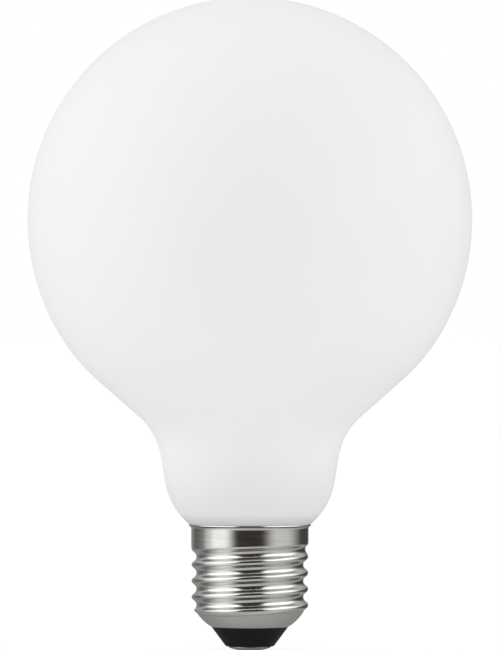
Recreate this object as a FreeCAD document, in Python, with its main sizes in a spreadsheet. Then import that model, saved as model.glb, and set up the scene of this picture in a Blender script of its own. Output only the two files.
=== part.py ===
import FreeCAD
import Part
import Sketcher

import os
from math import acos, cos, radians, sin, sqrt

# Globe lamp on an E27 screw cap, in millimetres.
# +Z runs up the lamp's axis, and the origin is the middle of the centre contact's face.

# Driving dimensions, each with a note for the sheet
SIZES = {
    "globe_diameter": (100, "blown globe"),
    "shoulder_start_angle": (33, "below the globe's equator, where the shoulder begins"),
    "shoulder_radius": (43, "round between globe and shoulder cone"),
    "shoulder_angle": (48.6, "shoulder cone, to the axis"),
    "neck_fillet_radius": (15, "hollow round between shoulder and neck"),
    "neck_taper_angle": (9.2, "neck, to the axis"),
    "neck_diameter": (38.2, "narrow end of the tapered neck"),
    "neck_length": (5.7, "straight side of the tapered neck"),
    "heel_radius": (16, "round from the neck down to the cap"),
    "cement_gap": (0.1, "between glass and shell, all round"),
    "shell_wall": (0.3, "drawn sheet"),
    "thread_diameter": (26.25, "over the crests"),
    "thread_pitch": (3.629, "seven turns to the inch"),
    "thread_depth": (1.08, "crest to root"),
    "thread_root_flat": (0.8, "plain strip between two ridges"),
    "thread_crest_flat": (0.5, "top of the ridge"),
    "thread_crest_width": (1.2, "ridge below its blunted top"),
    "thread_crest_drop": (0.18, "height of that blunted top"),
    "thread_start": (1.1, "first crest above the mouth"),
    "thread_run_in": (0.9, "last crest above the collar's lower edge"),
    "threaded_height": (18.4, "mouth to collar"),
    "collar_step": (0.08, "collar proud of the crests"),
    "collar_height": (3.6, "plain collar"),
    "collar_slope_height": (1.9, "cone under the collar"),
    "lip_flare": (0.6, "lip proud of the collar"),
    "lip_height": (0.85, "flared lip"),
    "dish_angle": (47.5, "dished bottom, to the axis"),
    "mouth_diameter": (17.3, "opening that the insulator fills"),
    "insulator_height": (4.4, "black cone below the mouth"),
    "insulator_foot_diameter": (10.8, "lower end of the cone"),
    "insulator_foot_radius": (0.7, "rounded lower edge"),
    "flange_gap": (0.5, "insulator's inner flange to the shell's bore"),
    "contact_diameter": (9.5, "domed button"),
    "contact_projection": (1, "contact's face below the insulator"),
    "contact_dome_height": (0.85, "domed part of the button"),
    "contact_dome_radius": (11, "dome"),
    "contact_flat_diameter": (3, "flat in the middle of the dome"),
    "contact_seat_depth": (0.3, "button's rim let into the insulator"),
    "contact_fit_gap": (0.05, "between contact and insulator, all round"),
    "shank_diameter": (2.6, "contact's pin"),
    "shank_length": (4, "contact's pin above the button"),
}

# Radii and heights that several pieces share, worked out from the sheet
CREST_R = "(Sizes.thread_diameter / 2)"
ROOT_R = f"({CREST_R} - Sizes.thread_depth)"
BORE_R = f"({ROOT_R} - Sizes.shell_wall)"
COLLAR_R = f"({CREST_R} + Sizes.collar_step)"
COLLAR_BORE_R = f"({COLLAR_R} - Sizes.shell_wall)"
LIP_R = f"({COLLAR_R} + Sizes.lip_flare)"
MOUTH_R = "(Sizes.mouth_diameter / 2)"
MOUTH_Z = "(Sizes.contact_projection + Sizes.insulator_height)"
COLLAR_Z = f"({MOUTH_Z} + Sizes.threaded_height)"
COLLAR_TOP_Z = f"({COLLAR_Z} + Sizes.collar_height)"
LIP_Z = f"({COLLAR_TOP_Z} + Sizes.lip_height)"
DISH_SLOPE = "tan(Sizes.dish_angle * 1 deg)"
DISH_INSIDE_Z = f"({MOUTH_Z} + Sizes.shell_wall / sin(Sizes.dish_angle * 1 deg))"
SEAT_Z = "(Sizes.contact_projection + Sizes.contact_seat_depth)"

# Edges nearer than this are taken to lie at one height
SAME_HEIGHT = 1e-6

doc = FreeCAD.newDocument("GlobeLamp")
sheet = doc.addObject("Spreadsheet::Sheet", "Sizes")
for row, (alias, (value, note)) in enumerate(SIZES.items(), 1):
    sheet.set(f"A{row}", note)
    sheet.set(f"B{row}", str(value))
    sheet.setAlias(f"B{row}", alias)
doc.recompute()


def number(expression):
    """The plain number that an expression on the sheet comes to."""
    value = sheet.evalExpression(expression)
    return float(getattr(value, "Value", value))


def point(radius, height):
    """A sketch point from two expressions on the sheet."""
    return FreeCAD.Vector(number(radius), number(height), 0)


def new_body(label):
    """An empty body that will be written under this label."""
    body = doc.addObject("PartDesign::Body", label)
    body.Label = label
    return body


def new_sketch(body, name):
    """A sketch on the body's upright XZ plane: across is the radius, up is the height."""
    sketch = body.newObject("Sketcher::SketchObject", name)
    plane = next(item for item in body.Origin.OriginFeatures if item.Role == "XZ_Plane")
    sketch.AttachmentSupport = (plane, [""])
    sketch.MapMode = "FlatFace"
    return sketch


def bind(sketch, name, expression, kind, *places):
    """Adds a named dimension that follows the sheet."""
    value = number(expression)
    if kind == "Angle":
        value = radians(value)
    index = sketch.addConstraint(Sketcher.Constraint(kind, *places, value))
    sketch.renameConstraint(index, name)
    sketch.setExpression(f"Constraints.{name}", expression)


def add_line(sketch, start, end):
    return sketch.addGeometry(Part.LineSegment(start, end))


def add_arc(sketch, centre, radius, first, last):
    """An anticlockwise arc from the first angle to the last."""
    circle = Part.Circle(centre, FreeCAD.Vector(0, 0, 1), radius)
    return sketch.addGeometry(Part.ArcOfCircle(circle, first, last))


def add_arc_between(sketch, start, end, radius):
    """The short anticlockwise arc from start to end."""
    chord = end - start
    left = FreeCAD.Vector(-chord.y, chord.x, 0).normalize()
    centre = (start + end) / 2 + left * sqrt(radius ** 2 - (chord.Length / 2) ** 2)
    circle = Part.Circle(centre, FreeCAD.Vector(0, 0, 1), radius)
    return sketch.addGeometry(Part.ArcOfCircle(circle, circle.parameter(start), circle.parameter(end)))


def closed_outline(sketch, corners):
    """Draws a closed outline through corners, each a radius and a height.

    A third entry makes the side after that corner an arc of that radius.
    """
    points = [point(corner[0], corner[1]) for corner in corners]
    sides = []
    for i, corner in enumerate(corners):
        after = points[(i + 1) % len(points)]
        if len(corner) == 2:
            sides.append(add_line(sketch, points[i], after))
        else:
            sides.append(add_arc_between(sketch, points[i], after, number(corner[2])))
            bind(sketch, f"round_{i}", corner[2], "Radius", sides[i])
    for i, side in enumerate(sides):
        after = sides[(i + 1) % len(sides)]
        sketch.addConstraint(Sketcher.Constraint("Coincident", side, 2, after, 1))
        if corners[i][0] == "0":
            sketch.addConstraint(Sketcher.Constraint("PointOnObject", side, 1, -2))
        else:
            bind(sketch, f"radius_{i}", corners[i][0], "DistanceX", -1, 1, side, 1)
        bind(sketch, f"height_{i}", corners[i][1], "DistanceY", -1, 1, side, 1)


def revolve(body, kind, name, sketch):
    """Turns a sketch once round the lamp's axis, to add or to cut."""
    feature = body.newObject(f"PartDesign::{kind}", name)
    feature.Profile = sketch
    feature.ReferenceAxis = (sketch, ["V_Axis"])
    feature.Angle = 360
    return feature


def make_glass():
    """One blown bulb: globe, shoulder, neck and heel are tangent, and its end sits inside the collar."""
    body = new_body("glass_globe")
    sketch = new_sketch(body, "glass_profile")

    def wall(angle):
        """Unit steps out of and up along a wall that leans out by an angle."""
        return FreeCAD.Vector(cos(angle), -sin(angle), 0), FreeCAD.Vector(sin(angle), cos(angle), 0)

    # Where the outline runs, from the cap up to the globe
    plug_r = f"({COLLAR_BORE_R} - Sizes.cement_gap)"
    heel_end_r = f"({LIP_R} - Sizes.shell_wall - Sizes.cement_gap)"
    taper = radians(number("Sizes.neck_taper_angle"))
    slope = radians(number("Sizes.shoulder_angle"))
    start = radians(number("Sizes.shoulder_start_angle"))
    neck_out, neck_up = wall(taper)
    cone_out, cone_up = wall(slope)
    start_out, _ = wall(start)
    globe_r = number("Sizes.globe_diameter / 2")
    shoulder_r = number("Sizes.shoulder_radius")
    fillet_r = number("Sizes.neck_fillet_radius")
    heel_r = number("Sizes.heel_radius")
    heel_end = point(heel_end_r, LIP_Z)
    heel_x = number("Sizes.neck_diameter / 2") - heel_r * cos(taper)
    heel_turn = acos((heel_end.x - heel_x) / heel_r)
    heel_centre = FreeCAD.Vector(heel_x, heel_end.y + heel_r * sin(heel_turn), 0)
    neck_low = heel_centre + neck_out * heel_r
    neck_top = neck_low + neck_up * number("Sizes.neck_length")
    fillet_centre = neck_top + neck_out * fillet_r
    cone_low = fillet_centre - cone_out * fillet_r
    shoulder_x = (globe_r - shoulder_r) * cos(start)
    cone_length = (shoulder_x + shoulder_r * cos(slope) - cone_low.x) / sin(slope)
    cone_top = cone_low + cone_up * cone_length
    shoulder_centre = cone_top - cone_out * shoulder_r
    globe_centre = shoulder_centre - start_out * (globe_r - shoulder_r)
    globe_top = globe_centre + FreeCAD.Vector(0, globe_r, 0)
    plug_top = point(plug_r, COLLAR_TOP_Z)
    plug_low = point(plug_r, COLLAR_Z)
    axis_low = point("0", COLLAR_Z)

    half_turn = radians(180)
    globe = add_arc(sketch, globe_centre, globe_r, -start, half_turn / 2)
    shoulder = add_arc(sketch, shoulder_centre, shoulder_r, -slope, -start)
    cone = add_line(sketch, cone_low, cone_top)
    fillet = add_arc(sketch, fillet_centre, fillet_r, half_turn - slope, half_turn - taper)
    neck = add_line(sketch, neck_low, neck_top)
    heel = add_arc(sketch, heel_centre, heel_r, -heel_turn, -taper)
    flare = add_line(sketch, heel_end, plug_top)
    plug = add_line(sketch, plug_top, plug_low)
    foot = add_line(sketch, plug_low, axis_low)
    axis = add_line(sketch, axis_low, globe_top)

    # Smooth joints, then plain corners: a side and its end, then the next side and its end.
    # End 1 is where a side starts and end 2 where it finishes.
    for joint in ((globe, 1, shoulder, 2), (shoulder, 1, cone, 2), (cone, 1, fillet, 1), (fillet, 2, neck, 2),
                  (neck, 1, heel, 2)):
        sketch.addConstraint(Sketcher.Constraint("Tangent", *joint))
    for joint in ((heel, 1, flare, 1), (flare, 2, plug, 1), (plug, 2, foot, 1), (foot, 2, axis, 1),
                  (axis, 2, globe, 2)):
        sketch.addConstraint(Sketcher.Constraint("Coincident", *joint))
    # The globe's centre and top and the axis stand on the lamp's axis
    for side, end in ((globe, 3), (globe, 2), (axis, 1)):
        sketch.addConstraint(Sketcher.Constraint("PointOnObject", side, end, -2))
    sketch.addConstraint(Sketcher.Constraint("Vertical", plug))
    sketch.addConstraint(Sketcher.Constraint("Horizontal", foot))
    bind(sketch, "globe_radius", "Sizes.globe_diameter / 2", "Radius", globe)
    shoulder_drop = "Sizes.globe_diameter / 2 * sin(Sizes.shoulder_start_angle * 1 deg)"
    bind(sketch, "shoulder_drop", shoulder_drop, "DistanceY", globe, 1, globe, 3)
    bind(sketch, "shoulder_radius", "Sizes.shoulder_radius", "Radius", shoulder)
    bind(sketch, "cone_angle", "90 - Sizes.shoulder_angle", "Angle", cone)
    bind(sketch, "fillet_radius", "Sizes.neck_fillet_radius", "Radius", fillet)
    bind(sketch, "neck_angle", "90 - Sizes.neck_taper_angle", "Angle", neck)
    bind(sketch, "neck_length", "Sizes.neck_length", "Distance", neck)
    bind(sketch, "neck_radius", "Sizes.neck_diameter / 2", "DistanceX", -1, 1, neck, 1)
    bind(sketch, "heel_radius", "Sizes.heel_radius", "Radius", heel)
    bind(sketch, "heel_end_radius", heel_end_r, "DistanceX", -1, 1, heel, 1)
    bind(sketch, "heel_end_height", LIP_Z, "DistanceY", -1, 1, heel, 1)
    bind(sketch, "plug_radius", plug_r, "DistanceX", -1, 1, plug, 1)
    bind(sketch, "plug_top", COLLAR_TOP_Z, "DistanceY", -1, 1, plug, 1)
    bind(sketch, "plug_foot", COLLAR_Z, "DistanceY", -1, 1, plug, 2)
    revolve(body, "Revolution", "blown_form", sketch)
    return body


def make_shell():
    """The drawn screw shell: turned outside, rolled thread, dished bottom, then hollowed to a thin wall."""
    body = new_body("screw_shell")
    outside = new_sketch(body, "shell_outside")
    closed_outline(outside, [
        ("0", MOUTH_Z),
        (ROOT_R, MOUTH_Z),
        (ROOT_R, f"{COLLAR_Z} - Sizes.collar_slope_height"),
        (COLLAR_R, COLLAR_Z),
        (COLLAR_R, COLLAR_TOP_Z),
        (LIP_R, LIP_Z),
        ("0", LIP_Z),
    ])
    revolve(body, "Revolution", "turned_outside", outside)

    # A blunt ridge on the root: its flanks go on inwards to a foot in the middle of the wall
    crest_z = f"({MOUTH_Z} + Sizes.thread_start)"
    shoulder_r = f"({CREST_R} - Sizes.thread_crest_drop)"
    root_half = "((Sizes.thread_pitch - Sizes.thread_root_flat) / 2)"
    flank_rise = "(Sizes.thread_depth - Sizes.thread_crest_drop)"
    flank_run = f"({root_half} - Sizes.thread_crest_width / 2)"
    foot_r = f"({ROOT_R} - Sizes.shell_wall / 2)"
    foot_half = f"({root_half} + Sizes.shell_wall / 2 * {flank_run} / {flank_rise})"
    ridge = new_sketch(body, "thread_ridge")
    closed_outline(ridge, [
        (foot_r, f"{crest_z} - {foot_half}"),
        (shoulder_r, f"{crest_z} - Sizes.thread_crest_width / 2"),
        (CREST_R, f"{crest_z} - Sizes.thread_crest_flat / 2"),
        (CREST_R, f"{crest_z} + Sizes.thread_crest_flat / 2"),
        (shoulder_r, f"{crest_z} + Sizes.thread_crest_width / 2"),
        (foot_r, f"{crest_z} + {foot_half}"),
    ])
    thread = body.newObject("PartDesign::AdditiveHelix", "rolled_thread")
    thread.Profile = ridge
    thread.ReferenceAxis = (ridge, ["V_Axis"])
    thread.Mode = "pitch-height-angle"
    thread.LeftHanded = False
    thread.setExpression("Pitch", "Sizes.thread_pitch")
    thread.setExpression("Height", "Sizes.threaded_height - Sizes.thread_start + Sizes.thread_run_in")

    # The dish crosses the mouth's plane, runs out beyond the crests and takes the thread's lower end with it
    below_z = f"({MOUTH_Z} - Sizes.thread_pitch)"
    dish_low_r = f"({MOUTH_R} - Sizes.shell_wall * {DISH_SLOPE})"
    beyond_r = f"({CREST_R} + Sizes.thread_depth)"
    beyond_z = f"({MOUTH_Z} + ({beyond_r} - {MOUTH_R}) / {DISH_SLOPE})"
    dish = new_sketch(body, "dish_profile")
    closed_outline(dish, [
        (dish_low_r, f"{MOUTH_Z} - Sizes.shell_wall"),
        (dish_low_r, below_z),
        (f"{beyond_r} + Sizes.thread_depth", below_z),
        (f"{beyond_r} + Sizes.thread_depth", beyond_z),
        (beyond_r, beyond_z),
    ])
    revolve(body, "Groove", "dished_bottom", dish)

    inside = new_sketch(body, "shell_inside")
    closed_outline(inside, [
        ("0", below_z),
        (MOUTH_R, below_z),
        (MOUTH_R, DISH_INSIDE_Z),
        (BORE_R, f"{DISH_INSIDE_Z} + ({BORE_R} - {MOUTH_R}) / {DISH_SLOPE}"),
        (BORE_R, COLLAR_Z),
        (COLLAR_BORE_R, COLLAR_Z),
        (COLLAR_BORE_R, COLLAR_TOP_Z),
        (f"{LIP_R} - Sizes.shell_wall", LIP_Z),
        (f"{LIP_R} - Sizes.shell_wall", f"{LIP_Z} + Sizes.lip_height"),
        ("0", f"{LIP_Z} + Sizes.lip_height"),
    ])
    revolve(body, "Groove", "hollow", inside)
    return body


def make_insulator():
    """Black moulded cone: it fills the shell's mouth, spreads inside over the dish and holds the contact."""
    body = new_body("base_insulator")
    foot_r = "(Sizes.insulator_foot_diameter / 2)"
    pocket_r = "(Sizes.contact_diameter / 2 + Sizes.contact_fit_gap)"
    pin_r = "(Sizes.shank_diameter / 2 + Sizes.contact_fit_gap)"
    flange_r = f"({BORE_R} - Sizes.flange_gap)"
    flange_z = f"({DISH_INSIDE_Z} + ({flange_r} - {MOUTH_R}) / {DISH_SLOPE})"
    profile = new_sketch(body, "insulator_profile")
    closed_outline(profile, [
        (pin_r, SEAT_Z),
        (pocket_r, SEAT_Z),
        (pocket_r, "Sizes.contact_projection"),
        (foot_r, "Sizes.contact_projection"),
        (MOUTH_R, MOUTH_Z),
        (MOUTH_R, DISH_INSIDE_Z),
        (flange_r, flange_z),
        (pin_r, flange_z),
    ])
    cone = revolve(body, "Revolution", "moulded_cone", profile)
    doc.recompute()
    rounded = body.newObject("PartDesign::Fillet", "foot_round")
    rounded.Base = (cone, [widest_edge_at(cone, number("Sizes.contact_projection"))])
    rounded.setExpression("Radius", "Sizes.insulator_foot_radius")
    return body


def widest_edge_at(feature, height):
    """The name of the widest circular edge at a height."""
    names = {}
    for i, edge in enumerate(feature.Shape.Edges, 1):
        if isinstance(edge.Curve, Part.Circle) and abs(edge.Curve.Center.z - height) < SAME_HEIGHT:
            names[edge.Curve.Radius] = f"Edge{i}"
    return names[max(names)]


def make_contact():
    """Pressed button with a flat in its dome, a rim let into the insulator and a pin up its hole."""
    body = new_body("centre_contact")
    contact_r = "(Sizes.contact_diameter / 2)"
    profile = new_sketch(body, "contact_profile")
    closed_outline(profile, [
        ("0", "0"),
        ("Sizes.contact_flat_diameter / 2", "0", "Sizes.contact_dome_radius"),
        (contact_r, "Sizes.contact_dome_height"),
        (contact_r, SEAT_Z),
        ("Sizes.shank_diameter / 2", SEAT_Z),
        ("Sizes.shank_diameter / 2", f"{SEAT_Z} + Sizes.shank_length"),
        ("0", f"{SEAT_Z} + Sizes.shank_length"),
    ])
    revolve(body, "Revolution", "pressed_button", profile)
    return body


pieces = [make_glass(), make_shell(), make_insulator(), make_contact()]
doc.recompute()

for item in doc.Objects:
    if "Invalid" in item.State or "Error" in item.State:
        raise RuntimeError(f"{item.Label} did not build: {item.State}")
    # A cut has to take material away, and the thread has to add some
    if item.TypeId in ("PartDesign::Groove", "PartDesign::AdditiveHelix"):
        gain = item.Shape.Volume - item.BaseFeature.Shape.Volume
        if (gain > 0) != (item.TypeId == "PartDesign::AdditiveHelix"):
            raise RuntimeError(f"{item.Label} changed the solid's volume by {gain:.2f} mm3")
for piece in pieces:
    if piece.Shape.isNull() or not piece.Shape.isValid() or len(piece.Shape.Solids) != 1:
        raise RuntimeError(f"{piece.Label} is not one sound solid")

os.makedirs("parts", exist_ok=True)
for piece in pieces:
    box = piece.Shape.optimalBoundingBox(False)
    print(f"{piece.Label}: volume {piece.Shape.Volume:.1f} mm3, across {box.XLength:.2f}, "
          f"from {box.ZMin:.2f} to {box.ZMax:.2f}")
    piece.Shape.exportStep(f"parts/{piece.Label}.step")
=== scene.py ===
# %% [markdown]
# # A globe bulb, dressed for the camera
#
# The bulb is four pieces: a blown opal glass globe, a thin nickel-plated screw shell, a black glass
# insulator and a domed centre contact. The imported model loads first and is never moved. It says where each
# piece starts and ends, and the sizes that its boxes can't tell are written here in millimetres. Each piece
# is modelled again with a finer skin, in the same place, and given the finish that the real one has.

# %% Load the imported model
from math import acos, asin, atan2, cos, floor, pi, radians, sin, sqrt, tan, tau

import bpy
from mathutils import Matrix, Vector


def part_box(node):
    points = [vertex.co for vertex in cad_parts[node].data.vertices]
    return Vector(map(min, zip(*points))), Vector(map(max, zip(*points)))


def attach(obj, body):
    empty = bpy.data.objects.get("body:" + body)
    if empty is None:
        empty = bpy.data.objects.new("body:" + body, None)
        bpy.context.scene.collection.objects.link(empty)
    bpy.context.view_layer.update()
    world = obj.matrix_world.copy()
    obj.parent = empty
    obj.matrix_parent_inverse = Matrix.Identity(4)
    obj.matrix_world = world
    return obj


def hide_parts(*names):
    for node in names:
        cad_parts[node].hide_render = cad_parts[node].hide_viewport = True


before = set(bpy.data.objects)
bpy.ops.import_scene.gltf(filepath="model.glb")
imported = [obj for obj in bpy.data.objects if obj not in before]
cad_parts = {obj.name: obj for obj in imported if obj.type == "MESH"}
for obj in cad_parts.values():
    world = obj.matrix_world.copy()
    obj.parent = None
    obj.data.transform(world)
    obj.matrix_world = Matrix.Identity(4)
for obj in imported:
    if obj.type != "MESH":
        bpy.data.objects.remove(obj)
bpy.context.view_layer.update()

MM = 0.001
print("nodes:", sorted(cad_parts))

# %% [markdown]
# ## The camera
#
# A studio photographs a bulb from well back with a long lens, so that the globe stays round and the cap
# stays straight. The camera is level, half way up the bulb, and the frame is about as tall as the bulb.
# Blender's sensor width belongs to the long side of the picture, so the lens follows from the distance and
# the height that has to fit.

# %% Camera
PICTURE_HEIGHT = 146.2 * MM
CAMERA_DISTANCE = 1500 * MM
CAMERA_HEIGHT = 73.26 * MM
CAMERA_ASIDE = 0.03 * MM

camera_place = (CAMERA_ASIDE, -CAMERA_DISTANCE, CAMERA_HEIGHT)
bpy.ops.object.camera_add(location=camera_place, rotation=(pi / 2, 0, 0))
camera = bpy.context.object
camera.name = "camera"
camera.data.lens = camera.data.sensor_width * CAMERA_DISTANCE / PICTURE_HEIGHT
bpy.context.scene.camera = camera
print("lens in mm:", round(camera.data.lens, 1))

# %% [markdown]
# ## Drawing an outline
#
# All four pieces are round, so each starts as half of its section. A draughtsman would walk along that
# section: so far straight on, then round a curve of some radius, then straight on again. The walker below
# does that and notes points as it goes, a radius and a height each. Corners come out true, and curves are
# as fine as they need to be.

# %% A walker for outlines
CURVE_STEP = radians(2.5)
LEAST_STOPS = 2


class Walker:
    """Walks along a section and keeps the points that it passes."""

    def __init__(self, radius, height, heading):
        self.place = Vector((radius, height))
        self.heading = heading
        self.points = [self.place.copy()]

    def straight(self, length, stops=1):
        """Goes straight on, with a number of even stops."""
        step = Vector((cos(self.heading), sin(self.heading))) * (length / stops)
        for _ in range(stops):
            self.place = self.place + step
            self.points.append(self.place.copy())

    def to(self, radius, height):
        """Goes straight to a place and looks that way."""
        gone = Vector((radius, height)) - self.place
        self.heading = atan2(gone.y, gone.x)
        self.straight(gone.length)

    def curve(self, radius, turn):
        """Goes round a curve, to the left for a positive turn and to the right for a negative one."""
        side = 1 if turn > 0 else -1
        to_centre = Vector((-sin(self.heading), cos(self.heading))) * radius * side
        centre = self.place + to_centre
        stops = max(LEAST_STOPS, round(abs(turn) / CURVE_STEP))
        for stop in range(1, stops + 1):
            heading = self.heading + turn * stop / stops
            self.place = centre - Vector((-sin(heading), cos(heading))) * radius * side
            self.points.append(self.place.copy())
        self.heading += turn


print("steps in a quarter turn:", round(pi / 2 / CURVE_STEP))

# %% [markdown]
# ## Turning an outline into a piece
#
# By hand, this is a lathe: one vertex is extruded from point to point along the section, and Spin carries
# that line once round the axis. The seam and the poles are then merged, and the faces are turned to look
# outwards. Starting from Blender's own sphere or cylinder would give the wrong rows of faces for these
# sections. At the end each piece gets smooth shading, apart from its sharp edges, and its place in the
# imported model.

# %% A lathe
TOUCHING = 0.0005 * MM
SHARP_EDGE = radians(35)


def start_piece(name):
    """A new piece that is a single vertex at the origin, in edit mode."""
    bpy.ops.object.select_all(action="DESELECT")
    bpy.ops.mesh.primitive_plane_add(size=MM)
    piece = bpy.context.object
    piece.name = name
    piece.data.name = name
    bpy.ops.object.mode_set(mode="EDIT")
    bpy.ops.mesh.merge(type="CENTER")
    return piece


def turn_on_lathe(name, points, sides):
    """A round piece from the points of its section."""
    piece = start_piece(name)
    first = points[0]
    bpy.ops.transform.translate(value=(first.x, 0, first.y))
    for before, after in zip(points, points[1:]):
        step = after - before
        bpy.ops.mesh.extrude_region_move(TRANSFORM_OT_translate={"value": (step.x, 0, step.y)})
    bpy.ops.mesh.select_all(action="SELECT")
    bpy.ops.mesh.spin(steps=sides, angle=tau, center=(0, 0, 0), axis=(0, 0, 1))
    bpy.ops.mesh.select_all(action="SELECT")
    bpy.ops.mesh.remove_doubles(threshold=TOUCHING)
    bpy.ops.mesh.normals_make_consistent(inside=False)
    bpy.ops.object.mode_set(mode="OBJECT")
    return piece


def select_only(piece):
    """Makes a piece the only one that an operator acts on."""
    bpy.ops.object.select_all(action="DESELECT")
    piece.select_set(True)
    bpy.context.view_layer.objects.active = piece


def finish_piece(piece, node, sharp_edge=SHARP_EDGE):
    """Smooth shading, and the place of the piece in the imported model."""
    select_only(piece)
    bpy.ops.object.shade_smooth_by_angle(angle=sharp_edge)
    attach(piece, "root")
    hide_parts(node)
    print(piece.name, "faces:", len(piece.data.polygons), "size in mm:",
          [round(size / MM, 2) for size in piece.dimensions])


print("points closer than this are merged, in mm:", TOUCHING / MM)

# %% [markdown]
# ## The opal globe
#
# The globe is blown in one piece: a true sphere, a round shoulder, a straight shoulder cone, a hollow round
# into the tapered neck, and a round heel. Below the heel the glass tucks in under the lip of the cap and
# goes down inside the collar. A sphere with a pulled neck would show where the two meet. Here each stretch
# above the lip runs smoothly into the next, which is what makes the outline look like glass. One length
# isn't chosen: the shoulder cone is as long as it takes for the sphere to close on the axis. A first walk
# without it shows how far off the axis the crown would end.

# %% Outline of the globe
GLOBE_RADIUS = 50 * MM
SHOULDER_START = radians(33)
SHOULDER_RADIUS = 43 * MM
SHOULDER_LEAN = radians(48.6)
CONE_ROWS = 8
NECK_FILLET_RADIUS = 15 * MM
NECK_LEAN = radians(9.2)
NECK_RADIUS = 19.1 * MM
NECK_LENGTH = 5.7 * MM
NECK_ROWS = 4
HEEL_RADIUS = 16 * MM
HEEL_END = 13.66 * MM
GLASS_AT_LIP = 13.405 * MM
GLASS_IN_COLLAR = 12.805 * MM
GLASS_FOOT_ROUND = 0.6 * MM
GLASS_TUCK = 0.85 * MM

# The glass comes out from under the lip by way of these radii and heights, the heights from the shell's top
GLASS_UNDER_LIP = [(12.85 * MM, -0.45 * MM), (13.15 * MM, -0.05 * MM)]

shell_low, shell_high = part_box("screw_shell")
lip_height = shell_high.z
glass_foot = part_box("glass_globe")[0].z


def walk_globe(cone_length):
    """The globe's section from the axis at its foot, up the outside and back to the axis at the crown."""
    heel_middle = NECK_RADIUS - HEEL_RADIUS * cos(NECK_LEAN)
    heel_height = lip_height + sqrt(HEEL_RADIUS ** 2 - (GLASS_AT_LIP - heel_middle) ** 2)
    heel_turn = acos((HEEL_END - heel_middle) / HEEL_RADIUS)
    walker = Walker(0, glass_foot, 0)
    walker.to(GLASS_IN_COLLAR - GLASS_FOOT_ROUND, glass_foot)
    walker.curve(GLASS_FOOT_ROUND, pi / 2)
    walker.to(GLASS_IN_COLLAR, lip_height - GLASS_TUCK)
    for radius, rise in GLASS_UNDER_LIP:
        walker.to(radius, lip_height + rise)
    walker.to(HEEL_END, heel_height - HEEL_RADIUS * sin(heel_turn))
    walker.heading = pi / 2 - heel_turn
    walker.curve(HEEL_RADIUS, heel_turn - NECK_LEAN)
    walker.straight(NECK_LENGTH, NECK_ROWS)
    walker.curve(NECK_FILLET_RADIUS, NECK_LEAN - SHOULDER_LEAN)
    walker.straight(cone_length, CONE_ROWS)
    walker.curve(SHOULDER_RADIUS, SHOULDER_LEAN - SHOULDER_START)
    walker.curve(GLOBE_RADIUS, pi / 2 + SHOULDER_START)
    return walker


off_axis = -walk_globe(0).place.x
cone_length = off_axis / sin(SHOULDER_LEAN)
globe_section = walk_globe(cone_length).points
globe_section[-1].x = 0
print("shoulder cone in mm:", round(cone_length / MM, 2))
print("height of the crown in mm:", round(globe_section[-1].y / MM, 2))

# %% Turn the globe
GLOBE_SIDES = 192

globe = turn_on_lathe("opal_globe", globe_section, GLOBE_SIDES)
finish_piece(globe, "glass_globe")

# %% [markdown]
# ## The screw shell, first as a plain cup
#
# The shell is made in two steps on the real bulb too. A cup is drawn from thin sheet, with a round bowl, a
# straight wall, and a lip that curls outwards. Rollers then press the thread into its wall and leave a plain
# collar above. The cup here is turned on the same lathe, with close rows of faces so that the thread has
# something to bend. Bowl and lip are true arcs.

# %% Section of the cup
COLLAR_RADIUS = 13.205 * MM
LIP_BEND = 0.868 * MM
LIP_TURN = radians(72)
LIP_SINK = 0.05 * MM
MOUTH_RADIUS = 8.65 * MM
BOWL_RADIUS = 10 * MM
BOWL_EDGE_RADIUS = 12.25 * MM
BOWL_EDGE_RISE = 3.65 * MM

# The lower side of the lip ends just under the top of the solid shell, and the sheet's wall comes on top
mouth_height = shell_low.z
lip_end = lip_height - LIP_SINK
collar_top = lip_end - LIP_BEND * sin(LIP_TURN)

# The bowl is an arc from the mouth to its outer edge, and its centre lies above the middle of that chord
chord = Vector((BOWL_EDGE_RADIUS - MOUTH_RADIUS, BOWL_EDGE_RISE))
chord_rise = sqrt(BOWL_RADIUS ** 2 - (chord.length / 2) ** 2)
bowl_centre = Vector((MOUTH_RADIUS, mouth_height)) + chord / 2
bowl_centre += Vector((-chord.y, chord.x)).normalized() * chord_rise


def bowl_radius(height):
    """How far the bowl reaches from the axis at a height."""
    below = bowl_centre.y - height
    if below <= 0:
        return bowl_centre.x + BOWL_RADIUS
    return bowl_centre.x + sqrt(BOWL_RADIUS ** 2 - below ** 2)


def cup_radius(height):
    """The plain cup: bowl, wall and lip."""
    if height > collar_top:
        return COLLAR_RADIUS + LIP_BEND - sqrt(LIP_BEND ** 2 - (height - collar_top) ** 2)
    return min(bowl_radius(height), COLLAR_RADIUS)


print("centre of the bowl in mm:", [round(size / MM, 2) for size in bowl_centre])

# %% Turn the cup
ROW_HEIGHT = 0.15 * MM
LIP_ROWS = 12
SHELL_SIDES = 224

rows = round((collar_top - mouth_height) / ROW_HEIGHT)
heights = [mouth_height + (collar_top - mouth_height) * row / rows for row in range(rows + 1)]
heights += [collar_top + LIP_BEND * sin(LIP_TURN * row / LIP_ROWS) for row in range(1, LIP_ROWS + 1)]
cup_section = [Vector((cup_radius(height), height)) for height in heights]
shell = turn_on_lathe("rolled_screw_shell", cup_section, SHELL_SIDES)

# A cup is open at both ends, so one face of its wall tells which way the faces look
wall_face = shell.data.polygons[len(shell.data.polygons) // 2]
if wall_face.normal.x * wall_face.center.x + wall_face.normal.y * wall_face.center.y < 0:
    bpy.ops.object.mode_set(mode="EDIT")
    bpy.ops.mesh.select_all(action="SELECT")
    bpy.ops.mesh.flip_normals()
    bpy.ops.object.mode_set(mode="OBJECT")
print("rows:", rows, "on the wall and", LIP_ROWS, "on the lip")

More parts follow.
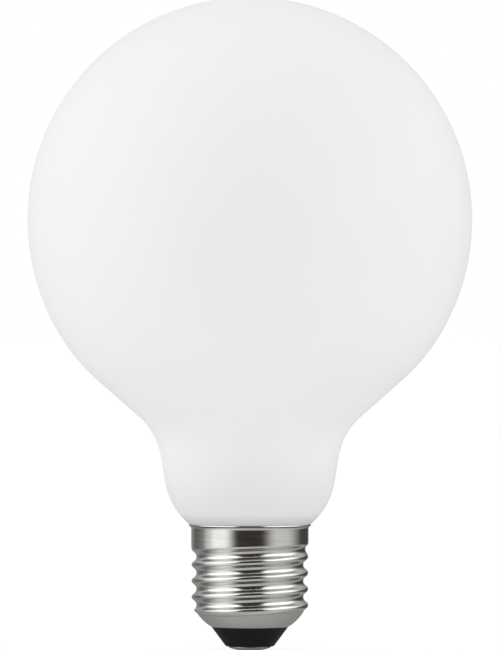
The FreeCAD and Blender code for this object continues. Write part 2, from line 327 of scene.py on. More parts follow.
# %% [markdown]
# ## The section of the thread
#
# A lamp thread is a knuckle thread: round crests and round roots, joined by short straight flanks. The sheet
# bends tighter over the crests than in the roots. A sine wave would bend the same in both and be too gentle
# on the flanks, so half a pitch is drawn as two arcs with a line between them.

# %% Section of the thread
PITCH = 3.629 * MM
THREAD_DEPTH = 1.08 * MM
FLANK_LEAN = radians(50)
CREST_SHARE = 0.38

# The crest's arc, a straight flank and the root's arc together span half a pitch and the whole depth
bends = (PITCH / 2 * tan(FLANK_LEAN) - THREAD_DEPTH) * cos(FLANK_LEAN) / (1 - cos(FLANK_LEAN))
crest_bend = CREST_SHARE * bends
root_bend = bends - crest_bend
crest_half = crest_bend * sin(FLANK_LEAN)
root_half = root_bend * sin(FLANK_LEAN)


def knuckle_drop(away):
    """How far the thread lies below its crest, at a distance along the axis from the nearest crest."""
    if away <= crest_half:
        return crest_bend - sqrt(crest_bend ** 2 - away ** 2)
    if away >= PITCH / 2 - root_half:
        return THREAD_DEPTH - root_bend + sqrt(root_bend ** 2 - (PITCH / 2 - away) ** 2)
    return crest_bend * (1 - cos(FLANK_LEAN)) + (away - crest_half) * tan(FLANK_LEAN)


print("bend of crest and root in mm:", round(crest_bend / MM, 3), round(root_bend / MM, 3))

# %% [markdown]
# ## The thread along the wall
#
# The thread climbs one pitch a turn, to the right. Under the collar the rollers lift, so a groove fades out
# as it climbs there, and the wall widens a little to the collar. Shares of a turn are counted from the right
# of the bulb: 0.25 is the back, and -0.25 is the front.

# %% Wall with its thread
CREST_RADIUS = 13.125 * MM
FIRST_CREST = 1.25 * MM
THREADED_HEIGHT = 18.4 * MM
RUN_OUT = 1.75 * MM
RUN_OUT_TOP = 0.15 * MM
COLLAR_EASE = 1.2 * MM
COLLAR_EASE_TOP = 0.6 * MM

collar_low = mouth_height + THREADED_HEIGHT
first_crest = mouth_height + FIRST_CREST


def eased(share):
    """A share from 0 to 1 with soft ends."""
    share = min(max(share, 0), 1)
    return share * share * (3 - 2 * share)


def rolled_radius(turn, height):
    """The rolled wall at a share of a turn and a height."""
    climb = (height - first_crest) / PITCH - turn
    away = abs(climb - round(climb)) * PITCH
    groove_height = first_crest + PITCH * (floor(climb) + 0.5 + turn)
    rolling = eased((collar_low + RUN_OUT_TOP - groove_height) / RUN_OUT)
    rolling *= eased((collar_low + COLLAR_EASE_TOP - height) / COLLAR_EASE)
    widening = eased(1 - (collar_low - height) / COLLAR_EASE)
    return CREST_RADIUS + (COLLAR_RADIUS - CREST_RADIUS) * widening - knuckle_drop(away) * rolling


print("turns of thread:", round(THREADED_HEIGHT / PITCH, 2))

# %% [markdown]
# ## The last turn
#
# Below, the thread ends where the bowl begins. Its last turn starts behind the left side, and by the time it
# comes round to the front it stands a little over the bowl, with a soft step under it. Cutting the thread
# off with the bowl would lose that step, so the bowl is let out where the last turn is, by a share that
# grows along it.

# %% Last turn over the bowl
LAST_TURN_OVER = 0.8 * MM
LAST_TURN_HALF = 0.98 * MM
LAST_TURN_LIFT = 0.5 * MM
LAST_TURN_EDGE = 0.2 * MM
LAST_TURN_START = -0.6
LAST_TURN_GROWS = 0.3


def last_turn_share(turn):
    """How much of the last turn there is: nothing behind the left, and all of it from the front on."""
    return eased((turn - LAST_TURN_START) / LAST_TURN_GROWS)


def below_last_turn(turn, height):
    """From 0, on the last turn, to 1, under it. The turn's lower edge starts high and comes down."""
    below_crest = first_crest + PITCH * (1 + turn) - height
    edge = LAST_TURN_HALF - (LAST_TURN_HALF + LAST_TURN_LIFT) * (1 - last_turn_share(turn))
    return eased(1 + (below_crest - edge) / LAST_TURN_EDGE)


def last_turn_over(turn, height):
    """How far the last turn stands out over the bowl."""
    return LAST_TURN_OVER * last_turn_share(turn) * (1 - below_last_turn(turn, height))


print("the last turn is whole from this share of a turn on:", round(LAST_TURN_START + LAST_TURN_GROWS, 2))

# %% [markdown]
# ## Rolling the thread
#
# Blender's Screw modifier would make the helix but not its two ends, so each vertex of the cup is pushed in
# along its own radius, as the rollers do it. Where wall and bowl meet, a small round takes the edge off.
# Each vertex also keeps its share in the dull bowl, which the finish needs later. The step under the last
# turn counts as bowl too, as far as a little behind the right side.

# %% Roll the thread
EDGE_SOFTNESS = 0.12 * MM
TUCK_ENDS = 0.15
TUCK_FADES = 0.1


def soft_least(first, second):
    """The lesser of two radii, with a small round where they meet."""
    apart = max(EDGE_SOFTNESS - abs(first - second), 0) / EDGE_SOFTNESS
    return min(first, second) - apart * apart * EDGE_SOFTNESS / 4


dull = shell.data.attributes.new("bowl_share", "FLOAT", "POINT")
for vertex in shell.data.vertices:
    height = vertex.co.z
    if height < collar_top:
        turn = atan2(vertex.co.y, vertex.co.x) / tau
        if turn > 1 + LAST_TURN_START:
            turn -= 1
        wall_reach = rolled_radius(turn, height)
        bowl_reach = bowl_radius(height) + last_turn_over(turn, height)
        reach = soft_least(wall_reach, bowl_reach)
        flat = Vector((vertex.co.x, vertex.co.y)).normalized() * reach
        vertex.co = (flat.x, flat.y, height)
        tucked = below_last_turn(turn, height) * eased((TUCK_ENDS - turn) / TUCK_FADES)
        in_bowl = eased(0.5 + (wall_reach - bowl_reach) / EDGE_SOFTNESS)
        dull.data[vertex.index].value = max(in_bowl, tucked)
print("vertices of the rolled cup:", len(shell.data.vertices))

# %% [markdown]
# ## The sheet's thickness
#
# The drawn sheet is 0.3 mm thick, and its edge shows at the lip. Solidify gives the skin that wall on the
# inside, and a small bevel takes the sharpness off the two cut edges. The smooth thread has no edge as steep
# as those, so an angle limit is enough to keep the bevel to them. Under the curl of the lip a thin dark band
# is painted in as shade, where the curl hides the sheet from the light. How much of it each vertex has
# follows from how far the skin looks down there.

# %% Give the sheet its wall
SHEET = 0.3 * MM
EDGE_BEVEL = 0.07 * MM
EDGE_BEVEL_STEPS = 2
CUT_EDGE = radians(60)
LIP_SHADE_FROM = 0.55
LIP_SHADE_FADES = 0.2
SHELL_SHARP_EDGE = radians(50)


def apply_modifier(piece, kind, **settings):
    """Adds a modifier with its settings and applies it."""
    select_only(piece)
    bpy.ops.object.modifier_add(type=kind)
    modifier = piece.modifiers[-1]
    for name, value in settings.items():
        setattr(modifier, name, value)
    bpy.ops.object.modifier_apply(modifier=modifier.name)


apply_modifier(shell, "SOLIDIFY", thickness=SHEET, offset=-1)
apply_modifier(shell, "BEVEL", width=EDGE_BEVEL, segments=EDGE_BEVEL_STEPS,
               limit_method="ANGLE", angle_limit=CUT_EDGE)
# Painted shade: a dark band under the curl of the lip, by how far the skin looks down
lip_underside_shade = shell.data.attributes.new("lip_underside_shade", "FLOAT", "POINT")
for vertex in shell.data.vertices:
    if vertex.co.z > collar_top:
        lip_underside_shade.data[vertex.index].value = eased((-vertex.normal.z - LIP_SHADE_FROM) / LIP_SHADE_FADES)
finish_piece(shell, "screw_shell", SHELL_SHARP_EDGE)

# %% [markdown]
# ## The black insulator
#
# Molten black glass is pressed into the mouth of the shell and holds the centre contact away from it. It
# shows as a short cone with a rounded lower edge. Inside, it spreads over the bowl, and a pocket and a hole
# take the contact. The sheet's edge is set into the glass, so the neck above the mouth is a little narrower
# than the mouth. All of that is one closed section for the lathe, with no cuts to make afterwards.

# %% Insulator
FOOT_RADIUS = 5.4 * MM
FOOT_ROUND = 0.7 * MM
INSULATOR_CONE_ROWS = 12
POCKET_RADIUS = 4.8 * MM
SEAT_HEIGHT = 1.3 * MM
PIN_HOLE_RADIUS = 1.35 * MM
SET_IN = 0.22 * MM
FLANGE_RADIUS = 11.245 * MM
FLANGE_FOOT = 0.45 * MM
INSULATOR_SIDES = 128

insulator_low, insulator_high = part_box("base_insulator")
foot = insulator_low.z
flange_top = insulator_high.z
cone_lean = atan2(mouth_height - foot, MOUTH_RADIUS - FOOT_RADIUS)
cone_side = (mouth_height - foot) / sin(cone_lean)
round_reach = FOOT_ROUND * tan(cone_lean / 2)

walker = Walker(PIN_HOLE_RADIUS, flange_top, -pi / 2)
walker.to(PIN_HOLE_RADIUS, SEAT_HEIGHT)
walker.to(POCKET_RADIUS, SEAT_HEIGHT)
walker.to(POCKET_RADIUS, foot)
walker.to(FOOT_RADIUS - round_reach, foot)
walker.curve(FOOT_ROUND, cone_lean)
walker.straight(cone_side - round_reach, INSULATOR_CONE_ROWS)
walker.to(MOUTH_RADIUS - SET_IN, mouth_height)
walker.to(MOUTH_RADIUS - SET_IN, mouth_height + FLANGE_FOOT)
walker.to(FLANGE_RADIUS, flange_top)
walker.to(PIN_HOLE_RADIUS, flange_top)
insulator = turn_on_lathe("black_insulator", walker.points, INSULATOR_SIDES)
finish_piece(insulator, "base_insulator")

# %% [markdown]
# ## The centre contact
#
# A pressed metal button closes the bottom of the cap: a shallow dome with a small flat in its middle, where
# the spring of the lampholder presses. Its rim is let into the insulator, and a pin goes up the hole. A
# small round on the rim catches the light as a pressed edge does. The walk goes from the flat over the dome
# and the rim to the top of the pin.

# %% Contact
CONTACT_RADIUS = 4.75 * MM
DOME_RISE = 0.85 * MM
DOME_RADIUS = 11 * MM
DOME_FLAT = 1.5 * MM
RIM_ROUND = 0.12 * MM
PIN_RADIUS = 1.3 * MM
CONTACT_SIDES = 96

contact_low, contact_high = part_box("centre_contact")
dome_chord = Vector((CONTACT_RADIUS - RIM_ROUND - DOME_FLAT, DOME_RISE - RIM_ROUND))
dome_turn = 2 * asin(dome_chord.length / 2 / DOME_RADIUS)
dome_start = atan2(dome_chord.y, dome_chord.x) - dome_turn / 2

walker = Walker(0, contact_low.z, 0)
walker.to(DOME_FLAT, contact_low.z)
walker.heading = dome_start
walker.curve(DOME_RADIUS, dome_turn)
walker.curve(RIM_ROUND, pi / 2 - walker.heading)
walker.to(walker.place.x, SEAT_HEIGHT)
walker.to(PIN_RADIUS, SEAT_HEIGHT)
walker.to(PIN_RADIUS, contact_high.z)
walker.to(0, contact_high.z)
contact = turn_on_lathe("contact_button", walker.points, CONTACT_SIDES)
finish_piece(contact, "centre_contact")

# %% [markdown]
# ## Mixing finishes
#
# Colours are written as hex values, the way a paint chart gives them, and one function turns them into the
# linear light that Blender works with. Another small function adds a node, sets it and joins its inputs, so
# that each finish below reads as a list of what it is made of. Patterns are placed by the object's own
# metres, so a scale of one over a real length gives a pattern of about that length.

# %% Helpers for finishes
COLOUR_MIX = {"data_type": "RGBA"}
SOFT_RANGE = {"interpolation_type": "SMOOTHSTEP"}


def linear(hex_colour):
    """A colour such as F2F4F3 as linear red, green, blue and alpha, by the sRGB curve."""
    parts = [int(hex_colour[i:i + 2], 16) / 255 for i in (0, 2, 4)]
    return (*[part / 12.92 if part <= 0.04045 else ((part + 0.055) / 1.055) ** 2.4 for part in parts], 1)


def add_node(tree, kind, settings, inputs):
    """Adds a node, sets its properties and fills its inputs with values or with outputs of other nodes."""
    node = tree.nodes.new(kind)
    for name, value in settings.items():
        setattr(node, name, value)
    for name, value in inputs.items():
        if isinstance(value, bpy.types.NodeSocket):
            tree.links.new(value, node.inputs[name])
        else:
            node.inputs[name].default_value = value
    return node


def new_finish(name):
    """An empty material, with its node tree, its surface shader and its object coordinates."""
    material = bpy.data.materials.new(name)
    material.use_nodes = True
    tree = material.node_tree
    shader = tree.nodes["Principled BSDF"]
    place = add_node(tree, "ShaderNodeTexCoord", {}, {}).outputs["Object"]
    return material, tree, shader, place


print("mid grey 808080 as linear light:", round(linear("808080")[0], 3))

# %% [markdown]
# ## Opal glass
#
# The white of an opal bulb is a fine powder coat on clear glass, baked to a satin skin. It has a very fine
# grain, here drawn at half a millimetre because the real one is too fine to show, and it lies a little
# thicker in some places than in others. Down the neck the coat runs thin and a trace greyer, and that grey
# is partly a thinner coat and partly painted shade on the neck under the globe. Close to the cap a clearly
# greyer rim is painted shade, where the lip of the cap shades the glass. There is no sharp shine, only a
# soft one.

# %% Opal glass
COAT_WHITE = "F4F6F5"
COAT_PATCH_WHITE = "F1F3F2"
# The neck's grey is partly a thinner coat and partly painted shade under the globe
THIN_COAT_AND_SHADE_WHITE = "EAECEB"
# The grey of the glass just above the cap's lip is painted shade
GLASS_RIM_SHADE_GREY = "CED0CC"
COAT_PATCH = 28 * MM
COAT_GRAIN = 0.5 * MM
COAT_GRAIN_DEPTH = 0.012 * MM
COAT_GRAIN_STRENGTH = 0.3
THIN_COAT_AND_SHADE_FROM = 47 * MM
THIN_COAT_AND_SHADE_TO = 33 * MM
GLASS_RIM_SHADE_FROM = 31.4 * MM
GLASS_RIM_SHADE_TO = 28 * MM
COAT_SMOOTHEST = 0.42
COAT_ROUGHEST = 0.52
COAT_SHINE = 0.08
GLASS_IOR = 1.5

opal, tree, shader, place = new_finish("satin_opal_glass")
patches = add_node(tree, "ShaderNodeTexNoise", {}, {"Vector": place, "Scale": 1 / COAT_PATCH, "Detail": 2})
even_coat = add_node(tree, "ShaderNodeMix", COLOUR_MIX, {
    "Factor": patches.outputs["Fac"], "A": linear(COAT_WHITE), "B": linear(COAT_PATCH_WHITE)})
spot = add_node(tree, "ShaderNodeSeparateXYZ", {}, {"Vector": place})
# Down the neck the white turns greyer: partly a thinner coat, partly painted shade
thin_coat_and_shade = add_node(tree, "ShaderNodeMapRange", SOFT_RANGE, {
    "Value": spot.outputs["Z"], "From Min": THIN_COAT_AND_SHADE_FROM, "From Max": THIN_COAT_AND_SHADE_TO})
thin_and_shaded_coat = add_node(tree, "ShaderNodeMix", COLOUR_MIX, {
    "Factor": thin_coat_and_shade.outputs["Result"], "A": even_coat.outputs["Result"], "B": linear(THIN_COAT_AND_SHADE_WHITE)})
# Painted shade: the glass turns clearly greyer just above the cap's lip
glass_rim_shade = add_node(tree, "ShaderNodeMapRange", SOFT_RANGE, {
    "Value": spot.outputs["Z"], "From Min": GLASS_RIM_SHADE_FROM, "From Max": GLASS_RIM_SHADE_TO})
coat_with_painted_shade = add_node(tree, "ShaderNodeMix", COLOUR_MIX, {
    "Factor": glass_rim_shade.outputs["Result"], "A": thin_and_shaded_coat.outputs["Result"], "B": linear(GLASS_RIM_SHADE_GREY)})
grain = add_node(tree, "ShaderNodeTexNoise", {}, {"Vector": place, "Scale": 1 / COAT_GRAIN, "Detail": 1})
skin = add_node(tree, "ShaderNodeBump", {}, {
    "Height": grain.outputs["Fac"], "Strength": COAT_GRAIN_STRENGTH, "Distance": COAT_GRAIN_DEPTH})
satin = add_node(tree, "ShaderNodeMapRange", {}, {
    "Value": patches.outputs["Fac"], "To Min": COAT_SMOOTHEST, "To Max": COAT_ROUGHEST})
tree.links.new(coat_with_painted_shade.outputs["Result"], shader.inputs["Base Color"])
tree.links.new(satin.outputs["Result"], shader.inputs["Roughness"])
tree.links.new(skin.outputs["Normal"], shader.inputs["Normal"])
shader.inputs["IOR"].default_value = GLASS_IOR
shader.inputs["Specular IOR Level"].default_value = COAT_SHINE
globe.data.materials.append(opal)
print("finish:", opal.name)

# %% [markdown]
# ## Nickel plate
#
# Nickel is a slightly warm grey metal with faint clouds of tarnish. Drawing the cup leaves fine lines round
# it, which show on the plain collar, while the tight bends of the thread mirror the room in narrow bright
# and dark stripes. The real lines are too fine to show at this size, so they are drawn coarser. The bowl is
# never touched by the rollers: it keeps the dull, darker skin of the drawn sheet. The share of bowl that the
# vertices keep mixes in that skin, and their share of painted shade under the lip mixes in a dark grey.

# %% Nickel plate
NICKEL = "E1E0DD"
TARNISHED_NICKEL = "D5D4D0"
BOWL_GREY = "C8C7C3"
# The dark grey under the curl of the lip is painted shade
LIP_SHADE_GREY = "7A7875"
TARNISH = 5 * MM
LINE_LENGTH = 14 * MM
LINE_SPACING = 0.4 * MM
LINE_DEPTH = 0.002 * MM
LINE_STRENGTH = 0.25
LINE_CONTRAST = 0.06
LINE_DARKEST_AT = 0.3
LINE_LIGHTEST_AT = 0.7
POLISH_SMOOTHEST = 0.1
POLISH_ROUGHEST = 0.24
BOWL_ROUGHNESS = 0.55

nickel, tree, shader, place = new_finish("nickel_plated_sheet")
stretched = add_node(tree, "ShaderNodeMapping", {}, {
    "Vector": place, "Scale": (1 / LINE_LENGTH, 1 / LINE_LENGTH, 1 / LINE_SPACING)})
lines = add_node(tree, "ShaderNodeTexNoise", {}, {
    "Vector": stretched.outputs["Vector"], "Scale": 1, "Detail": 2})
cloud = add_node(tree, "ShaderNodeTexNoise", {}, {"Vector": place, "Scale": 1 / TARNISH, "Detail": 3})
bowl_share = add_node(tree, "ShaderNodeAttribute", {"attribute_name": "bowl_share"}, {})
lip_shade_share = add_node(tree, "ShaderNodeAttribute", {"attribute_name": "lip_underside_shade"}, {})
plate = add_node(tree, "ShaderNodeMix", COLOUR_MIX, {
    "Factor": cloud.outputs["Fac"], "A": linear(NICKEL), "B": linear(TARNISHED_NICKEL)})
streak = add_node(tree, "ShaderNodeMapRange", {}, {
    "Value": lines.outputs["Fac"], "From Min": LINE_DARKEST_AT, "From Max": LINE_LIGHTEST_AT,
    "To Min": 1 - LINE_CONTRAST, "To Max": 1 + LINE_CONTRAST})
brushed = add_node(tree, "ShaderNodeMix", {"data_type": "RGBA", "blend_type": "MULTIPLY"}, {
    "Factor": 1, "A": plate.outputs["Result"], "B": streak.outputs["Result"]})
metal = add_node(tree, "ShaderNodeMix", COLOUR_MIX, {
    "Factor": bowl_share.outputs["Fac"], "A": brushed.outputs["Result"], "B": linear(BOWL_GREY)})
# Painted shade under the curl of the lip darkens the metal there
with_lip_shade = add_node(tree, "ShaderNodeMix", COLOUR_MIX, {
    "Factor": lip_shade_share.outputs["Fac"], "A": metal.outputs["Result"], "B": linear(LIP_SHADE_GREY)})
polish = add_node(tree, "ShaderNodeMapRange", {}, {
    "Value": lines.outputs["Fac"], "To Min": POLISH_SMOOTHEST, "To Max": POLISH_ROUGHEST})
roughness = add_node(tree, "ShaderNodeMix", {}, {
    "Factor": bowl_share.outputs["Fac"], "A": polish.outputs["Result"], "B": BOWL_ROUGHNESS})
relief = add_node(tree, "ShaderNodeBump", {}, {
    "Height": lines.outputs["Fac"], "Strength": LINE_STRENGTH, "Distance": LINE_DEPTH})
tree.links.new(with_lip_shade.outputs["Result"], shader.inputs["Base Color"])
tree.links.new(roughness.outputs["Result"], shader.inputs["Roughness"])
tree.links.new(relief.outputs["Normal"], shader.inputs["Normal"])
shader.inputs["Metallic"].default_value = 1
shell.data.materials.append(nickel)
print("finish:", nickel.name)

# %% [markdown]
# ## Black glass
#
# The insulator's glass is pressed hot and cools with a slightly wavy skin, so its shine is soft and a little
# uneven. Its black has a trace of brown. The waves are about a millimetre across.

# %% Black glass
DEEP_BLACK = "101010"
BROWN_BLACK = "181817"
WAVE = 1.1 * MM
WAVE_DEPTH = 0.02 * MM
WAVE_STRENGTH = 0.3
WAVE_SMOOTHEST = 0.38
WAVE_ROUGHEST = 0.5
BLACK_SHINE = 0.12

black, tree, shader, place = new_finish("pressed_black_glass")
waves = add_node(tree, "ShaderNodeTexNoise", {}, {"Vector": place, "Scale": 1 / WAVE, "Detail": 2})
tint = add_node(tree, "ShaderNodeMix", COLOUR_MIX, {
    "Factor": waves.outputs["Fac"], "A": linear(DEEP_BLACK), "B": linear(BROWN_BLACK)})
satin = add_node(tree, "ShaderNodeMapRange", {}, {
    "Value": waves.outputs["Fac"], "To Min": WAVE_SMOOTHEST, "To Max": WAVE_ROUGHEST})
skin = add_node(tree, "ShaderNodeBump", {}, {
    "Height": waves.outputs["Fac"], "Strength": WAVE_STRENGTH, "Distance": WAVE_DEPTH})
tree.links.new(tint.outputs["Result"], shader.inputs["Base Color"])
tree.links.new(satin.outputs["Result"], shader.inputs["Roughness"])
tree.links.new(skin.outputs["Normal"], shader.inputs["Normal"])
shader.inputs["IOR"].default_value = GLASS_IOR
shader.inputs["Specular IOR Level"].default_value = BLACK_SHINE
insulator.data.materials.append(black)
print("finish:", black.name)

# %% [markdown]
# ## Pressed contact metal
#
# The button is plated like the shell but left satin. The press leaves faint rings round its middle. They
# depend only on the distance from the axis, so the noise runs along that one number.

# %% Contact metal
BUTTON_GREY = "A8A6A2"
TARNISHED_BUTTON = "989692"
RING = 0.22 * MM
RING_DEPTH = 0.004 * MM
RING_STRENGTH = 0.3
RING_SMOOTHEST = 0.26
RING_ROUGHEST = 0.42

button, tree, shader, place = new_finish("nickel_plated_button")
across = add_node(tree, "ShaderNodeVectorMath", {"operation": "MULTIPLY"}, {0: place, 1: (1, 1, 0)})
from_axis = add_node(tree, "ShaderNodeVectorMath", {"operation": "LENGTH"}, {0: across.outputs["Vector"]})
rings = add_node(tree, "ShaderNodeTexNoise", {"noise_dimensions": "1D"}, {
    "W": from_axis.outputs["Value"], "Scale": 1 / RING, "Detail": 2})
cloud = add_node(tree, "ShaderNodeTexNoise", {}, {"Vector": place, "Scale": 1 / TARNISH, "Detail": 3})
metal = add_node(tree, "ShaderNodeMix", COLOUR_MIX, {
    "Factor": cloud.outputs["Fac"], "A": linear(BUTTON_GREY), "B": linear(TARNISHED_BUTTON)})
satin = add_node(tree, "ShaderNodeMapRange", {}, {
    "Value": rings.outputs["Fac"], "To Min": RING_SMOOTHEST, "To Max": RING_ROUGHEST})
skin = add_node(tree, "ShaderNodeBump", {}, {
    "Height": rings.outputs["Fac"], "Strength": RING_STRENGTH, "Distance": RING_DEPTH})
tree.links.new(metal.outputs["Result"], shader.inputs["Base Color"])
tree.links.new(satin.outputs["Result"], shader.inputs["Roughness"])
tree.links.new(skin.outputs["Normal"], shader.inputs["Normal"])
shader.inputs["Metallic"].default_value = 1
contact.data.materials.append(button)
print("finish:", button.name)

# %% [markdown]
# ## The studio
#
# White goods are shot in a white room. The sky and the floor look plain white to the camera, and light the
# bulb a little less than that, so that the white globe still stands out from them. The camera's end of the
# room is a little dimmer than the far end, so the light comes more from behind. From here on lengths are
# plain metres.

# %% White room
WHITE = "FFFFFF"
FRONT_LIGHT = 0.8
BACK_LIGHT = 0.93

scene = bpy.context.scene
scene.view_settings.view_transform = "Standard"
world = bpy.data.worlds.new("white_room")
world.use_nodes = True
scene.world = world


def seen_directly(tree):
    """One for a ray from the camera, a reflection or through glass, and nothing for a ray of light."""
    path = add_node(tree, "ShaderNodeLightPath", {}, {})
    mirrored = add_node(tree, "ShaderNodeMath", {"operation": "MAXIMUM"}, {
        0: path.outputs["Is Camera Ray"], 1: path.outputs["Is Glossy Ray"]})
    seen = add_node(tree, "ShaderNodeMath", {"operation": "MAXIMUM"}, {
        0: mirrored.outputs["Value"], 1: path.outputs["Is Transmission Ray"]})
    return seen.outputs["Value"]


# The camera's end of the room lies along -Y, and a world's Generated output is the direction of the ray
tree = world.node_tree
way = add_node(tree, "ShaderNodeTexCoord", {}, {})
along = add_node(tree, "ShaderNodeSeparateXYZ", {}, {"Vector": way.outputs["Generated"]})
room_light = add_node(tree, "ShaderNodeMapRange", {}, {
    "Value": along.outputs["Y"], "From Min": -1, "From Max": 1,
    "To Min": FRONT_LIGHT, "To Max": BACK_LIGHT})
strength = add_node(tree, "ShaderNodeMix", {}, {
    "Factor": seen_directly(tree), "A": room_light.outputs["Result"], "B": 1})
tree.nodes["Background"].inputs["Color"].default_value = linear(WHITE)
tree.links.new(strength.outputs["Result"], tree.nodes["Background"].inputs["Strength"])
print("room light, front and back:", FRONT_LIGHT, BACK_LIGHT)

# %% [markdown]
# ## The floor
#
# The bulb stands on a sheet of white paper. To the camera most of the paper's white is a glow, so that it
# runs into the white of the room. The rest is its own shading, and with it the shadow of the bulb.
# Reflections don't see the floor, because the drum of cards, which comes last, takes its place there.

# %% Paper floor
PAPER_WHITE = "FAFAFA"
FLOOR_SIZE = 60
FLOOR_GLOW = 0.8
FLOOR_GLOW_STRENGTH = 1.05

bpy.ops.object.select_all(action="DESELECT")
bpy.ops.mesh.primitive_plane_add(size=FLOOR_SIZE, location=(0, 0, 0))
studio_floor = bpy.context.object
studio_floor.name = "floor"
studio_floor.visible_glossy = False
paper, tree, shader, place = new_finish("white_paper_floor")
shader.inputs["Base Color"].default_value = linear(PAPER_WHITE)
shader.inputs["Roughness"].default_value = 1
shader.inputs["Specular IOR Level"].default_value = 0
glow = add_node(tree, "ShaderNodeEmission", {}, {"Color": linear(WHITE), "Strength": FLOOR_GLOW_STRENGTH})
share = add_node(tree, "ShaderNodeMath", {"operation": "MULTIPLY"}, {0: seen_directly(tree), 1: FLOOR_GLOW})
surface = add_node(tree, "ShaderNodeMixShader", {}, {
    0: share.outputs["Value"], 1: shader.outputs["BSDF"], 2: glow.outputs["Emission"]})
tree.links.new(surface.outputs["Shader"], tree.nodes["Material Output"].inputs["Surface"])
studio_floor.data.materials.append(paper)
print("share of the floor that glows:", FLOOR_GLOW)

# %% [markdown]
# ## Soft boxes
#
# One soft box stands at each side of the bulb and well above it, the stronger one to the left. They shape
# the globe and don't show in any shine. The bright lines on the thread come from the drum of cards instead.

# %% Soft boxes
BOX_DISTANCE = 1.25
BOX_SIZE = 0.75
BOX_HEIGHT = 0.95

# Bearing and power: a bearing of 0 is the camera's side, and it grows to the right
SOFT_BOXES = {"soft_box_left": (radians(-85), 3.8), "soft_box_right": (radians(80), 2.6)}

for name, (bearing, power) in SOFT_BOXES.items():
    stand = Vector((sin(bearing) * BOX_DISTANCE, -cos(bearing) * BOX_DISTANCE, BOX_HEIGHT))
    bpy.ops.object.light_add(type="AREA", location=stand)
    box = bpy.context.object
    box.name = name
    box.data.size = BOX_SIZE
    box.data.energy = power
    box.visible_glossy = False
    aim = Vector((0, 0, CAMERA_HEIGHT)) - box.location
    box.rotation_euler = aim.to_track_quat("-Z", "Y").to_euler()
    print(box.name, "stands at", [round(size, 2) for size in stand])

# %% [markdown]
# ## Cards round the metal
#
# Polished metal in a white room would look flat. A photographer hangs cards round it, dark ones where the
# metal should turn dark and pale ones where it should shine. Level with the cap a dark cloth hangs in front,
# with a white card to the left, a grey one to the right and dim walls further back. Higher up, two white
# strip boxes stand at the sides and reach overhead, with the cloth between them: the thread shows them as
# bright lines. Below are grey cards. All of them are painted on one drum, with soft borders. Only
# reflections see it, so that it shapes the metal and leaves the satin globe almost alone.

# %% Tones of the cards
DARK_CLOTH = "272221"
WHITE_CARD = "E1E1E1"
GREY_CARD = "AFAFAF"
DIM_WALL = "363636"
BACKDROP = "818181"
STRIP_BOX = "FFFFFF"
GROUND_CARD = "A1A1A1"

# Each band is a list of bearings in degrees and the tones there, from the left once round over the front
BANDS = {
    "level": [(-90, GREY_CARD), (-72, WHITE_CARD), (-52, WHITE_CARD), (-24, DARK_CLOTH), (22, DARK_CLOTH),
              (54, GREY_CARD), (74, GREY_CARD), (124, DIM_WALL), (152, DIM_WALL), (176, BACKDROP),
              (-168, BACKDROP), (-130, "505050"), (-108, "666666")],
    "upper": [(-90, STRIP_BOX), (-36, STRIP_BOX), (-20, DARK_CLOTH), (22, DARK_CLOTH), (40, STRIP_BOX),
              (105, STRIP_BOX), (125, "A7A7A7"), (155, "949494"), (180, BACKDROP), (-150, "8F8F8F"),
              (-120, "949494"), (-104, STRIP_BOX)],
    "lower": [(-90, GREY_CARD), (-61, "CACACA"), (-40, "B2B2B2"), (0, "A2A2A2"), (40, "A2A2A2"),
              (64, "ACACAC"), (100, "989898"), (129, "868686"), (160, BACKDROP), (-150, "787878"),
              (-120, "6E6E6E")],
}
print("tones in each band:", {band: len(stops) for band, stops in BANDS.items()})

# %% Drum
DRUM_RADIUS = 2
DRUM_HEIGHT = 6
DRUM_SIDES = 96

bpy.ops.object.select_all(action="DESELECT")
bpy.ops.mesh.primitive_cylinder_add(
    vertices=DRUM_SIDES, radius=DRUM_RADIUS, depth=DRUM_HEIGHT, end_fill_type="NGON")
drum = bpy.context.object
drum.name = "drum_of_cards"
drum.visible_camera = False
drum.visible_diffuse = False
drum.visible_transmission = False
drum.visible_shadow = False
print("drum in m:", 2 * DRUM_RADIUS, "across and", DRUM_HEIGHT, "high")

# %% Tones round the drum
FRONT_ON_GRADIENT = 0.25

# A radial gradient runs from 0 at the left, over a quarter at the front, once round to 1
cards, tree, shader, place = new_finish("studio_cards")
once_round = add_node(tree, "ShaderNodeTexGradient", {"gradient_type": "RADIAL"}, {"Vector": place})
tones = {}
for band, stops in BANDS.items():
    ramp = add_node(tree, "ShaderNodeValToRGB", {}, {"Fac": once_round.outputs["Fac"]})
    ramp.color_ramp.interpolation = "EASE"
    marks = ramp.color_ramp.elements
    first_tone = stops[0][1]
    marks[0].color = linear(first_tone)
    marks[1].color = linear(first_tone)
    for degrees, tone in stops[1:]:
        marks.new((FRONT_ON_GRADIENT + degrees / 360) % 1).color = linear(tone)
    tones[band] = ramp.outputs["Color"]
print("bands of cards:", list(tones))

# %% Tones from the ground to overhead
CARD_STRENGTH = 1.6
UPPER_FROM = 0.2
UPPER_TO = 1
LOWER_FROM = -0.3
LOWER_TO = -0.8
LID_FROM = 0.499 * DRUM_HEIGHT
CLOTH_OVERHEAD_TO = 0.9
STRIP_BOX_FROM = 1.25

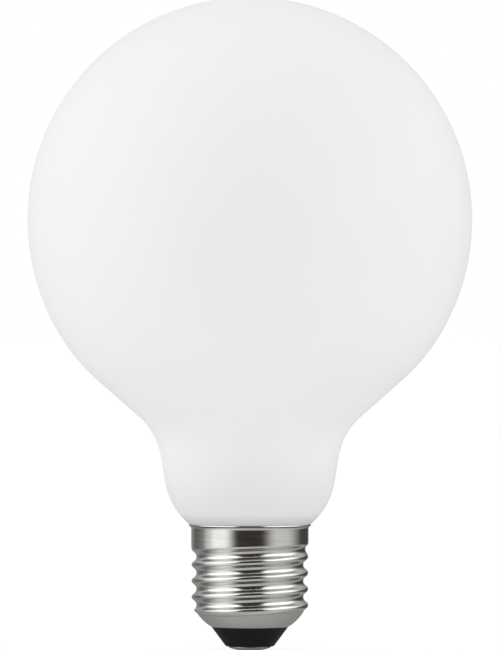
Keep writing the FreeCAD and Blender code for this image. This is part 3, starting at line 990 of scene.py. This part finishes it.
# The side of the drum changes from band to band with the height
spot = add_node(tree, "ShaderNodeSeparateXYZ", {}, {"Vector": place})
is_upper = add_node(tree, "ShaderNodeMapRange", SOFT_RANGE, {
    "Value": spot.outputs["Z"], "From Min": UPPER_FROM, "From Max": UPPER_TO})
is_lower = add_node(tree, "ShaderNodeMapRange", SOFT_RANGE, {
    "Value": spot.outputs["Z"], "From Min": LOWER_FROM, "From Max": LOWER_TO})
upper_side = add_node(tree, "ShaderNodeMix", COLOUR_MIX, {
    "Factor": is_upper.outputs["Result"], "A": tones["level"], "B": tones["upper"]})
side = add_node(tree, "ShaderNodeMix", COLOUR_MIX, {
    "Factor": is_lower.outputs["Result"], "A": upper_side.outputs["Result"], "B": tones["lower"]})

# The lid overhead has the cloth between the two strip boxes
aside = add_node(tree, "ShaderNodeMath", {"operation": "ABSOLUTE"}, {0: spot.outputs["X"]})
is_strip = add_node(tree, "ShaderNodeMapRange", SOFT_RANGE, {
    "Value": aside.outputs["Value"], "From Min": CLOTH_OVERHEAD_TO, "From Max": STRIP_BOX_FROM})
overhead = add_node(tree, "ShaderNodeMix", COLOUR_MIX, {
    "Factor": is_strip.outputs["Result"], "A": linear(DARK_CLOTH), "B": linear(STRIP_BOX)})
is_lid = add_node(tree, "ShaderNodeMath", {"operation": "GREATER_THAN"}, {
    0: spot.outputs["Z"], 1: LID_FROM})
side_and_lid = add_node(tree, "ShaderNodeMix", COLOUR_MIX, {
    "Factor": is_lid.outputs["Value"], "A": side.outputs["Result"], "B": overhead.outputs["Result"]})

# The ground is one card
is_ground = add_node(tree, "ShaderNodeMath", {"operation": "LESS_THAN"}, {
    0: spot.outputs["Z"], 1: -LID_FROM})
painted = add_node(tree, "ShaderNodeMix", COLOUR_MIX, {
    "Factor": is_ground.outputs["Value"], "A": side_and_lid.outputs["Result"], "B": linear(GROUND_CARD)})
glow = add_node(tree, "ShaderNodeEmission", {}, {
    "Color": painted.outputs["Result"], "Strength": CARD_STRENGTH})
tree.links.new(glow.outputs["Emission"], tree.nodes["Material Output"].inputs["Surface"])
drum.data.materials.append(cards)
print("finish:", cards.name)
